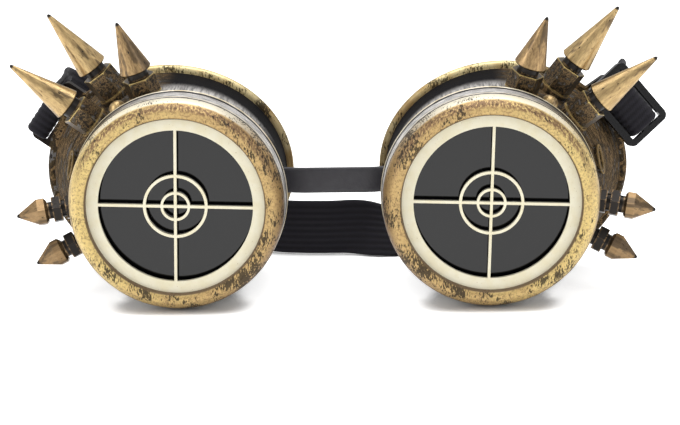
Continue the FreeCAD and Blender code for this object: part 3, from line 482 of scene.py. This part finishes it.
def elastic_finish():
    """Ribbed elastic: cross threads and lighter rib crests, laid out by the band's own map."""
    shader = Shader("elastic_weave")
    flat = shader.node("UVMap", uv_map="weave").outputs["UV"]
    across = shader.part(flat, "X")
    lengthwise = shader.part(flat, "Y")
    wave_across = shader.math("SINE", shader.times(across, 2 * math.pi * THREADS_ACROSS))
    wave_along = shader.math("SINE", shader.times(lengthwise, 2 * math.pi / THREAD_LENGTH))
    thread = shader.times(shader.plus(shader.times(wave_across, wave_along), 1.0), 0.5)
    fuzz = shader.noise(shader.place(), 2.5, 4.0, 0.7)
    coat = shader.mix(thread, ELASTIC_DEEP, ELASTIC_THREAD)
    coat = shader.mix(shader.mask(fuzz, 0.55, 0.8), coat, ELASTIC_FUZZ)
    groove = shader.math("COSINE", shader.times(across, 2 * math.pi * STRAP_RIBS))
    crest = shader.minus(0.3, shader.times(groove, 0.3))
    coat = shader.mix(crest, coat, ELASTIC_CREST)
    shader.bump(shader.plus(thread, shader.times(fuzz, 0.4)), 0.5, 0.12)
    return shader.finish(
        Base_Color=coat, Roughness=0.8, Specular_IOR_Level=0.3,
        Sheen_Weight=0.06, Sheen_Roughness=0.5,
    )


def vinyl_finish(name, colour, light, grain_scale, rough):
    """Soft black vinyl or foam skin with a fine leathery grain."""
    shader = Shader(name)
    place = shader.place()
    inputs = {"Vector": place, "Scale": grain_scale}
    grain = shader.node("TexVoronoi", inputs, feature="SMOOTH_F1").outputs["Distance"]
    tone = shader.noise(place, 0.18, 3.0)
    coat = shader.mix(shader.mask(tone, 0.35, 0.7), colour, light)
    shader.bump(grain, 0.35, 0.1)
    return shader.finish(Base_Color=coat, Roughness=rough)


def gloss_finish():
    """Glossy black moulded plastic of the slider with a faint grain and lighter edges."""
    shader = Shader("slider_gloss")
    grain = shader.noise(shader.place(), 1.4, 4.0)
    coat = shader.mix(shader.mask(shader.edge(0.6), 0.25, 0.7), GLOSS_BLACK, GLOSS_EDGE_LIGHT)
    rough = shader.plus(0.20, shader.times(grain, 0.16))
    shader.bump(grain, 0.08, 0.06)
    return shader.finish(Base_Color=coat, Roughness=rough, IOR=1.4)


def steel_finish():
    """Plain steel of the screws and pins, with a fine grain and a little tarnish."""
    shader = Shader("plain_steel")
    place = shader.place()
    tarnish = shader.noise(place, 0.8, 4.0)
    coat = shader.mix(shader.mask(tarnish, 0.45, 0.7), STEEL, STEEL_TARNISH)
    shader.bump(shader.noise(place, 3.0, 3.0), 0.15, 0.05)
    return shader.finish(Base_Color=coat, Metallic=1.0, Roughness=0.32)


def rubber_finish():
    """Matte black rubber of the gaskets and spacers."""
    shader = Shader("gasket_rubber")
    place = shader.place()
    dust = shader.noise(place, 0.6, 4.0)
    coat = shader.mix(shader.mask(dust, 0.45, 0.75), RUBBER, RUBBER_DUST)
    shader.bump(shader.noise(place, 2.5, 3.0), 0.2, 0.06)
    return shader.finish(Base_Color=coat, Roughness=0.7)


# Each brass piece: height of its dark foot in millimetres, level of clear brass, and its light and
# dim tone.
BRASS_PIECES = {
    "spike_upper": (2.05, 0.48, (COPPER, COPPER_DULL)),
    "spike_middle": (2.05, 0.54, (BRASS, BRASS_DULL)),
    "spike_lower": (2.05, 0.54, (BRASS, BRASS_DULL)),
    "stud_upper": (6.4, 0.46, (COPPER_AGED, COPPER_DULL)),
    "stud_lower": (6.4, 0.46, (COPPER_AGED, COPPER_DULL)),
    "rivet": (0.1, 0.52, (BRASS, BRASS_DULL)),
}


def dress(node, material):
    nodes[node].data.materials.clear()
    nodes[node].data.materials.append(material)


def line_of(node, tag):
    """Foot, direction and length in millimetres of a turned piece, from its foot to its tip."""
    spots = [v.co.copy() for v in nodes[node].data.vertices]
    middle = sum(spots, Vector()) / len(spots)
    tip = max(spots, key=lambda p: (p - CUP_AXIS[tag]).length)
    way = (tip - middle).normalized()
    root = middle + way * min((p - middle).dot(way) for p in spots)
    return root, way, (tip - root).dot(way) / MM


def dress_nodes():
    """Give every solid that stays in view its own finish."""
    steel = steel_finish()
    rubber = rubber_finish()
    shared = {
        "reticle_plate": plate_finish(), "lens": lens_finish(), "standoffs": bronze_finish(),
        "lens_spacer": rubber, "seat_gasket": rubber,
        "bridge_pin": steel, "spike_screws": steel, "stud_screws": steel,
    }
    for tag in SIDES:
        dress(tag + "_bezel", bezel_finish(tag))
        dress(tag + "_eyecup", cup_finish(tag))
        for name, material in shared.items():
            dress(tag + "_" + name, material)
        for name, look in BRASS_PIECES.items():
            node = tag + "_" + name
            dress(node, brass_finish(node, *line_of(node, tag), *look))
    dress("strap_slider", gloss_finish())


# Widths of the rounded edges, in millimetres, and the angle from which an edge is rounded.
SLIDER_EDGE = 0.35
CUP_EDGES = {"reticle_plate": 0.12, "standoffs": 0.18, "stud_upper": 0.15, "stud_lower": 0.15}
EDGE_ANGLE = 35


def soften_edges():
    """Small rounded edges on the moulded and stamped solids, so that they catch the light."""
    widths = {"strap_slider": SLIDER_EDGE}
    for tag in SIDES:
        widths.update({tag + "_" + name: width for name, width in CUP_EDGES.items()})
    for node, width in widths.items():
        bevel = nodes[node].modifiers.new("edge", "BEVEL")
        bevel.width = width * MM
        bevel.segments = 2
        bevel.limit_method = "ANGLE"
        bevel.angle_limit = math.radians(EDGE_ANGLE)


def new_piece(name, points, faces, material, body, replaced=()):
    mesh = bpy.data.meshes.new(name)
    mesh.from_pydata([tuple(p) for p in points], [], faces)
    mesh.polygons.foreach_set("use_smooth", [True] * len(mesh.polygons))
    mesh.materials.append(material)
    mesh.update()
    piece = bpy.data.objects.new(name, mesh)
    bpy.context.scene.collection.objects.link(piece)
    if body:
        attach(piece, body)
    if replaced:
        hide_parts(*replaced)
    return piece


def curve_bends(knots, values):
    """Second derivatives at the knots of the smooth cubic through the values."""
    gaps = np.diff(knots)
    system = np.eye(len(knots))
    right = np.zeros_like(values)
    for i in range(1, len(knots) - 1):
        system[i, i - 1:i + 2] = gaps[i - 1], 2 * (gaps[i - 1] + gaps[i]), gaps[i]
        ahead = (values[i + 1] - values[i]) / gaps[i]
        behind = (values[i] - values[i - 1]) / gaps[i - 1]
        right[i] = 6 * (ahead - behind)
    return np.linalg.solve(system, right)


def smooth_line(points, samples=24):
    """Points of the smooth cubic through the given points, and where each lies among them."""
    values = np.array(points, float)
    knots = np.concatenate([[0.0], np.cumsum(np.linalg.norm(np.diff(values, axis=0), axis=1))])
    bends = curve_bends(knots, values)
    line = []
    marks = []
    for i, gap in enumerate(np.diff(knots)):
        last = i == len(knots) - 2
        for share in np.linspace(0.0, 1.0, samples, endpoint=False).tolist() + [1.0] * last:
            a = 1.0 - share
            bow = ((a ** 3 - a) * bends[i] + (share ** 3 - share) * bends[i + 1]) * gap ** 2 / 6
            line.append(a * values[i] + share * values[i + 1] + bow)
            marks.append(i + share)
    return np.array(line), np.array(marks)


# Smallest and largest gap between a band's rings in millimetres, the turn between two of them in
# radians, and the least bend counted, per millimetre.
RING_GAP = (0.3, 1.8)
RING_TURN = 0.16
LEAST_BEND = 1e-6


def ring_places(line):
    """Indices along a dense line: close together on tight bends, further apart on straight runs."""
    step = np.linalg.norm(np.diff(line, axis=0), axis=1)
    length = np.concatenate([[0.0], np.cumsum(step)])
    ahead = np.gradient(line, length, axis=0)
    ahead /= np.linalg.norm(ahead, axis=1)[:, None]
    bend = np.linalg.norm(np.gradient(ahead, length, axis=0), axis=1)
    chosen = [0]
    for i in range(1, len(line) - 1):
        room = min(RING_GAP[1], max(RING_GAP[0], RING_TURN / max(bend[i], LEAST_BEND)))
        if length[i] - length[chosen[-1]] >= room:
            chosen.append(i)
    return chosen + [len(line) - 1], length, ahead


# Rows of points across a plain band and across one rib, and the share of the thickness left at
# the edges.
PLAIN_ROWS = 9
ROWS_PER_RIB = 8
BLUNT_EDGE = 0.12


def band_section(width, thickness, ribs, depth):
    """Closed outline of a band: rounded long edges and shallow ribs on both faces."""
    count = max(PLAIN_ROWS, ribs * ROWS_PER_RIB + 1)
    round_edge = thickness * 0.5 / (width * 0.5)
    rows = []
    for i in range(count):
        if ribs:
            across = -1 + 2 * i / (count - 1)
            dip = depth * (0.5 + 0.5 * math.cos(2 * math.pi * ribs * (across + 1) / 2))
        else:
            across = -math.cos(math.pi * i / (count - 1))
            dip = 0.0
        past = max(0.0, (abs(across) - (1 - round_edge)) / round_edge)
        swell = math.sqrt(max(0.0, 1 - past ** 2))
        rows.append((across * width / 2, max(BLUNT_EDGE, swell) * (thickness / 2 - dip)))
    return rows + [(a, -b) for a, b in reversed(rows)]


def band_piece(name, line, ups, length, ahead, section, width, material):
    """Band whose section follows a line, with its flat width and length as a texture map."""
    points = []
    for spot, up, way in zip(line, ups, ahead):
        flat = up - way * np.dot(up, way)
        flat /= np.linalg.norm(flat)
        out = np.cross(way, flat)
        points += [(spot + flat * a + out * b) * MM for a, b in section]
    count = len(section)
    faces = []
    for i in range(len(line) - 1):
        for k in range(count):
            j = (k + 1) % count
            faces.append((i * count + k, i * count + j, (i + 1) * count + j, (i + 1) * count + k))
    faces.append(tuple(range(count))[::-1])
    faces.append(tuple((len(line) - 1) * count + k for k in range(count)))
    piece = new_piece(name, points, faces, material, None)
    for cap in list(piece.data.polygons)[-2:]:
        cap.use_smooth = False
    weave = piece.data.uv_layers.new(name="weave")
    for loop in piece.data.loops:
        ring, k = divmod(loop.vertex_index, count)
        weave.data[loop.index].uv = (section[k][0] / width + 0.5, length[ring])
    return piece


def ear_out(side):
    """Direction of the ear, square to the oval rim where it grows from it."""
    a = math.radians(EAR_ANGLE)
    out = np.array([side * math.cos(a) / RIM_HALF_WIDTH, 0.0, math.sin(a) / RIM_HALF_HEIGHT])
    return out / np.linalg.norm(out)


def on_ear(side, out, depth):
    """Point by its distance along the ear from the rim's edge and its depth behind the plate."""
    a = math.radians(EAR_ANGLE)
    edge = np.array([
        side * (RIM_MIDDLE_X + RIM_HALF_WIDTH * math.cos(a)),
        PLATE_Y / MM + depth,
        RIM_MIDDLE_Z + RIM_HALF_HEIGHT * math.sin(a),
    ])
    return edge + ear_out(side) * out


def slider_axes():
    """Directions of the slider: along the strap's way, along its bars and out of its face."""
    ear = ear_out(1)
    turn = math.atan2(ear[2], ear[0]) + math.radians(SLIDER_TURN)
    tilt = math.radians(SLIDER_TILT)
    out = np.array([math.cos(turn), 0.0, math.sin(turn)])
    way = out * math.cos(tilt) + BACK * math.sin(tilt)
    across = np.cross(out, BACK)
    return way, across, np.cross(way, across)


# Stations of the elastic in millimetres. On an ear: out from the strap's place in the slot or from
# the outer edge of the ear's bar, and behind the rim's front. On the slider: along its way and out
# of its face.
SEWN_LOOP = [
    ("bar", 1.3, -1.9), ("bar", 1.6, -0.6), ("bar", 1.9, 1.2), ("bar", 1.9, 3.0),
    ("bar", 1.2, 4.9), ("bar", -0.4, 6.1), ("slot", 1.4, 6.1), ("slot", 0.5, 5.0),
    ("slot", 0.0, 3.2), ("slot", 0.0, 1.0), ("slot", 0.0, -1.6),
]
OVER_SLIDER = [
    (-3.9, -1.9), (-4.15, -0.2), (-3.4, 1.35), (-1.6, 1.75), (0.0, 1.8), (1.6, 1.75), (3.4, 1.35),
    (4.15, -0.2),
]
PAST_RIGHT_EAR = [("bar", 3.6, -1.5), ("bar", 4.1, 0.7), ("bar", 4.4, 4.2), ("bar", 4.4, 9.0)]
LEFT_EAR_LOOP = [
    ("bar", 1.4, 15.0), ("bar", 1.4, 9.0), ("bar", 1.5, 4.0), ("bar", 1.5, 1.6), ("bar", 1.5, 0.05),
    ("bar", 1.0, -1.2), ("bar", -0.2, -1.7), ("slot", 1.5, -1.7), ("slot", 0.3, -1.2),
    ("slot", -0.1, 0.0), ("slot", -0.1, 1.6), ("slot", 0.05, 3.4), ("slot", 0.9, 5.4),
    ("slot", 2.0, 7.0), ("bar", -0.4, 9.2), ("bar", -0.05, 12.0), ("bar", -0.05, 14.0),
]

# Stations behind the cups: side, then shares of the reach outwards, of the slack backwards and of
# the reach upwards, and the lean of the band's width in degrees.
BEHIND_CUPS = [
    (1, 0.98, 0.05, 0.938, -22), (1, 0.926, 0.45, 0.81, -15), (1, 0.741, 0.8, 0.602, -5),
    (1, 0.463, 0.85, 0.347, 10), (1, 0.139, 0.65, 0.127, 25), (1, -0.185, 0.35, -0.014, 38),
    (1, -0.463, 0.125, -0.046, 42), (1, -0.683, 0.025, -0.028, 33), (1, -0.857, 0.0, 0.0, 8),
    (-1, -0.965, 0.0, 0.0, 0), (-1, -0.78, 0.0, 0.0, 0), (-1, -0.602, 0.05, 0.0, 0),
    (-1, -0.37, 0.225, 0.014, 0), (-1, -0.093, 0.55, 0.104, 0), (-1, 0.185, 0.85, 0.278, 0),
    (-1, 0.463, 0.975, 0.509, 0), (-1, 0.718, 0.825, 0.729, 0), (-1, 0.868, 0.45, 0.891, 0),
]

# The first station of each length of the band. Each cut lies where one body carries the band: in
# the gap before the slider's outer bar, past the right ear and behind the right cup.
BAND_STARTS = {
    "headband_ear_loop": 0,
    "headband_slider_run": 18,
    "headband_right": 22,
    "headband_left": 29,
}


def headband_stations():
    """Middle points and width directions of the elastic, from the slider to the left ear."""
    lie = FLOOR_Z / MM + STRAP_WIDTH / 2 + STRAP_LIFT
    run = CUSHION_HIGH.y / MM + STRAP_GAP
    reach = RIM_HALF_WIDTH + STRAP_SPREAD
    base = {"slot": STRAP_IN_SLOT, "bar": EAR_REACH}

    def by_ear(side, rows):
        up = np.cross(ear_out(side), BACK) * side
        return [
            (on_ear(side, base[start] + out, RIM_DEPTH + depth), up)
            for start, out, depth in rows
        ]

    def by_slider(rows):
        middle = on_ear(1, SLIDER_OUT, RIM_DEPTH - SLIDER_AHEAD)
        way, across, above = slider_axes()
        return [(middle + way * out + above * front, across) for out, front in rows]

    def free(side, out, back, up, lean):
        b = math.radians(lean)
        spot = [side * (CUP_HALF + out * reach), run + back * STRAP_SLACK, lie + up * reach]
        return np.array(spot), np.array([0.0, math.sin(b), math.cos(b)])

    return [
        *by_ear(1, SEWN_LOOP),
        *by_slider(OVER_SLIDER),
        *by_ear(1, PAST_RIGHT_EAR),
        *[free(*row) for row in BEHIND_CUPS],
        *by_ear(-1, LEFT_EAR_LOOP),
    ]


def build_headband():
    """The elastic in four lengths along one smooth line, built in place of the headband solid."""
    stations = headband_stations()
    line, marks = smooth_line([p for p, up in stations])
    chosen, length, ahead = ring_places(line)
    ups = np.array([up for p, up in stations])
    low = np.minimum(marks.astype(int), len(ups) - 2)
    share = (marks - low)[:, None]
    ups = ups[low] * (1 - share) + ups[low + 1] * share
    section = band_section(STRAP_WIDTH, STRAP_THICKNESS, STRAP_RIBS, STRAP_RIB_DEPTH)
    elastic = elastic_finish()
    ends = [*BAND_STARTS.values()][1:] + [len(stations) - 1]
    pieces = []
    for (name, first), last in zip(BAND_STARTS.items(), ends):
        rings = [i for i in chosen if first < marks[i] < last]
        rings = [int(np.searchsorted(marks, first))] + rings + [int(np.searchsorted(marks, last))]
        pieces.append(band_piece(
            name, line[rings], ups[rings], length[rings], ahead[rings],
            section, STRAP_WIDTH, elastic,
        ))
    loop, slider_run, right, left = pieces
    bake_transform(loop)
    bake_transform(slider_run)
    for piece, side, cup in ((right, 1, "right_cup"), (left, -1, "left_cup")):
        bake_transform(piece)
    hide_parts("headband")


# The bridge strap in millimetres: its thickness, the inner radius of the fold round the pin, the
# middle line from the nose outwards, its last point as a distance before the pin and a depth, and
# the fold's angles in degrees.
BRIDGE_THICKNESS = 1.2
BRIDGE_FOLD = 0.88
BRIDGE_LINE = [(0.0, 0.0), (5.0, 0.0), (9.5, 0.05)]
BRIDGE_BEFORE_PIN = (3.2, 0.75)
BRIDGE_FOLD_ANGLES = [105, 75, 45, 15, -15, -45, -75, -105, -135, -160]


def build_bridge():
    """Flat bridge strap with each end folded round its pin."""
    reach = abs(sum(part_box("right_bridge_pin"), Vector()).x / 2) / MM
    height = (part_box("bridge_strap")[1].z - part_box("bridge_strap")[0].z) / MM
    fold = BRIDGE_FOLD + BRIDGE_THICKNESS / 2
    half = BRIDGE_LINE + [(reach - BRIDGE_BEFORE_PIN[0], BRIDGE_BEFORE_PIN[1])]
    turns = np.radians(BRIDGE_FOLD_ANGLES)
    half += [(reach + fold * math.cos(a), fold * math.sin(a)) for a in turns]
    right = [np.array([x, y, 0.0]) for x, y in half]
    left = [np.array([-x, y, 0.0]) for x, y in half[:0:-1]]
    line = smooth_line(left + right)[0]
    chosen, length, ahead = ring_places(line)
    ups = np.tile([0.0, 0.0, 1.0], (len(line), 1))
    vinyl = vinyl_finish("bridge_vinyl", VINYL, VINYL_LIGHT, 2.2, 0.55)
    section = band_section(height, BRIDGE_THICKNESS, 0, 0.0)
    piece = band_piece(
        "bridge_band", line[chosen], ups[chosen], length[chosen], ahead[chosen],
        section, height, vinyl,
    )
    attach(piece, "bridge")
    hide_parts("bridge_strap")


# The cushion's section, as inset from its outer edge and rise from the rim in millimetres, and the
# puckers of its skin: their depth, their number, how unevenly they lie, and the rise where they
# are full.
CUSHION_PROFILE = [
    (0.45, 0.0), (0.12, 0.5), (0.0, 1.3), (0.04, 2.5), (0.5, 3.8), (1.6, 4.75), (3.0, 5.0),
    (4.4, 4.75), (5.5, 3.8), (5.96, 2.5), (6.0, 1.3), (5.88, 0.5), (5.55, 0.0),
]
CUSHION_HALF = 3.0
CUSHION_TURNS = 120
PUCKER_DEPTH = 0.14
PUCKERS = 31
PUCKER_SWAY = 1.3
PUCKER_SWAYS = 5
PUCKER_RISE = 2.0


def build_cushion(tag, material):
    """Padded ring on the back of the rim: a crowned roll with small puckers on its inner side."""
    node = tag + "_face_cushion"
    low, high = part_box(node)
    middle = (low + high) / 2
    wide = (high.x - low.x) / 2 / MM
    tall = (high.z - low.z) / 2 / MM
    points = []
    for i in range(CUSHION_TURNS):
        a = 2 * math.pi * i / CUSHION_TURNS
        out = Vector((math.cos(a) / wide, 0.0, math.sin(a) / tall)).normalized()
        edge = Vector((wide * math.cos(a), 0.0, tall * math.sin(a)))
        wave = math.sin(PUCKERS * a + PUCKER_SWAY * math.sin(PUCKER_SWAYS * a))
        for inset, rise in CUSHION_PROFILE:
            inner = max(0.0, (inset - CUSHION_HALF) / CUSHION_HALF)
            pucker = PUCKER_DEPTH * inner * wave * min(1.0, rise / PUCKER_RISE)
            spot = edge - out * (inset + pucker)
            points.append(middle + Vector((spot.x * MM, low.y - middle.y + rise * MM, spot.z * MM)))
    count = len(CUSHION_PROFILE)
    faces = []
    for i in range(CUSHION_TURNS):
        j = (i + 1) % CUSHION_TURNS
        for k in range(count):
            m = (k + 1) % count
            faces.append((i * count + k, i * count + m, j * count + m, j * count + k))
    name = tag + "_padded_ring"
    piece = new_piece(name, points, faces, material, tag + "_cup", [node])
    smooth = piece.modifiers.new("smooth", "SUBSURF")
    smooth.levels = 1
    smooth.render_levels = 1


# The floor: half its width in metres, the reach of the contact shadow painted into its glow in
# millimetres, and its glow.
FLOOR_HALF = 6.0
SHADOW_REACH = 7.0
FLOOR_GLOW = 0.66


def build_floor():
    """Wide pale floor that stays white to the eye, keeps the real shadow, and has a contact shadow
    painted into its glow.
    """
    mesh = bpy.data.meshes.new("floor")
    square = ((-1, -1), (1, -1), (1, 1), (-1, 1))
    corners = [(x * FLOOR_HALF, y * FLOOR_HALF, FLOOR_Z) for x, y in square]
    mesh.from_pydata(corners, [], [(0, 1, 2, 3)])
    floor = bpy.data.objects.new("floor", mesh)
    bpy.context.scene.collection.objects.link(floor)
    shader = Shader("floor_paper")
    path = shader.node("LightPath")
    seen = shader.math("MAXIMUM", path.outputs["Is Camera Ray"], path.outputs["Is Glossy Ray"])
    seen = shader.math("MAXIMUM", seen, path.outputs["Is Transmission Ray"])
    # Painted shadow: near the goggles the glow fades out, darkening the floor round the contact.
    clear = shader.fall(shader.hollow(SHADOW_REACH), 0.10, 0.55)
    level = shader.times(shader.times(seen, clear), FLOOR_GLOW)
    glow = shader.node("Emission", {"Color": WHITE, "Strength": level})
    both = shader.node("AddShader", {0: shader.bsdf.outputs[0], 1: glow.outputs[0]})
    output = next(n for n in shader.tree.nodes if n.type == "OUTPUT_MATERIAL")
    shader.tree.links.new(both.outputs[0], output.inputs["Surface"])
    paper = shader.finish(Base_Color=FLOOR_PAPER, Roughness=0.9, Specular_IOR_Level=0.0)
    mesh.materials.append(paper)


# The world's level, and each lamp's place and size in metres and its power in watts.
WORLD_LEVEL = 0.62
LAMPS = {
    "top_light": ((0.0, 0.05, 0.75), (0.7, 0.5), 5.0),
    "left_light": ((-0.75, -0.35, 0.35), (0.3, 0.6), 2.4),
    "right_light": ((0.75, -0.35, 0.35), (0.3, 0.6), 1.6),
}


def build_light():
    """Soft studio light: an even pale world, a broad top light and a side light at each temple."""
    world = bpy.data.worlds.new("studio")
    bpy.context.scene.world = world
    world.use_nodes = True
    sky = world.node_tree.nodes["Background"]
    sky.inputs["Color"].default_value = (*WHITE, 1.0)
    sky.inputs["Strength"].default_value = WORLD_LEVEL
    for name, (place, size, power) in LAMPS.items():
        lamp = bpy.data.lights.new(name, "AREA")
        lamp.shape = "RECTANGLE"
        lamp.size, lamp.size_y = size
        lamp.energy = power
        holder = bpy.data.objects.new(name, lamp)
        bpy.context.scene.collection.objects.link(holder)
        holder.location = place
        holder.rotation_mode = "QUATERNION"
        holder.rotation_quaternion = (-Vector(place)).to_track_quat("-Z", "Y")


def build_camera():
    """The photograph's view: its direction, distance and slight roll, with the plates in place."""
    distance = 0.500
    azimuth = math.radians(1.5)
    elevation = math.radians(14.5)
    roll = math.radians(1.0)
    px_per_metre = 3795.6
    frame_width_px = 680.0
    middle_px = (340.0, 212.5)
    plates_px = (333.1, 204.9)
    data = bpy.data.cameras.new("camera")
    data.sensor_width = 36.0
    data.lens = px_per_metre * distance * data.sensor_width / frame_width_px
    data.clip_start = 0.01
    data.clip_end = 50.0
    camera = bpy.data.objects.new("camera", data)
    bpy.context.scene.collection.objects.link(camera)
    level = Vector((-math.sin(azimuth), math.cos(azimuth), 0.0))
    view = level * math.cos(elevation) - Vector((0.0, 0.0, math.sin(elevation)))
    right = Vector((math.cos(azimuth), math.sin(azimuth), 0.0))
    up = right.cross(view)
    turned_right = right * math.cos(roll) - up * math.sin(roll)
    turned_up = up * math.cos(roll) + right * math.sin(roll)
    plates = Vector((0.0, PLATE_Y, CUP_AXIS["right"].z))
    offset = turned_right * ((plates_px[0] - middle_px[0]) / px_per_metre)
    offset -= turned_up * ((plates_px[1] - middle_px[1]) / px_per_metre)
    camera.location = plates - view * distance - offset
    camera.rotation_mode = "QUATERNION"
    turn = Matrix((turned_right, turned_up, -view)).transposed()
    camera.rotation_quaternion = turn.to_quaternion()
    bpy.context.scene.camera = camera


dress_nodes()
soften_edges()
build_headband()
build_bridge()
foam = vinyl_finish("cushion_skin", FOAM, FOAM_LIGHT, 1.6, 0.6)
for cup in SIDES:
    build_cushion(cup, foam)
build_floor()
build_light()
build_camera()
bpy.context.scene.view_settings.view_transform = "Standard"
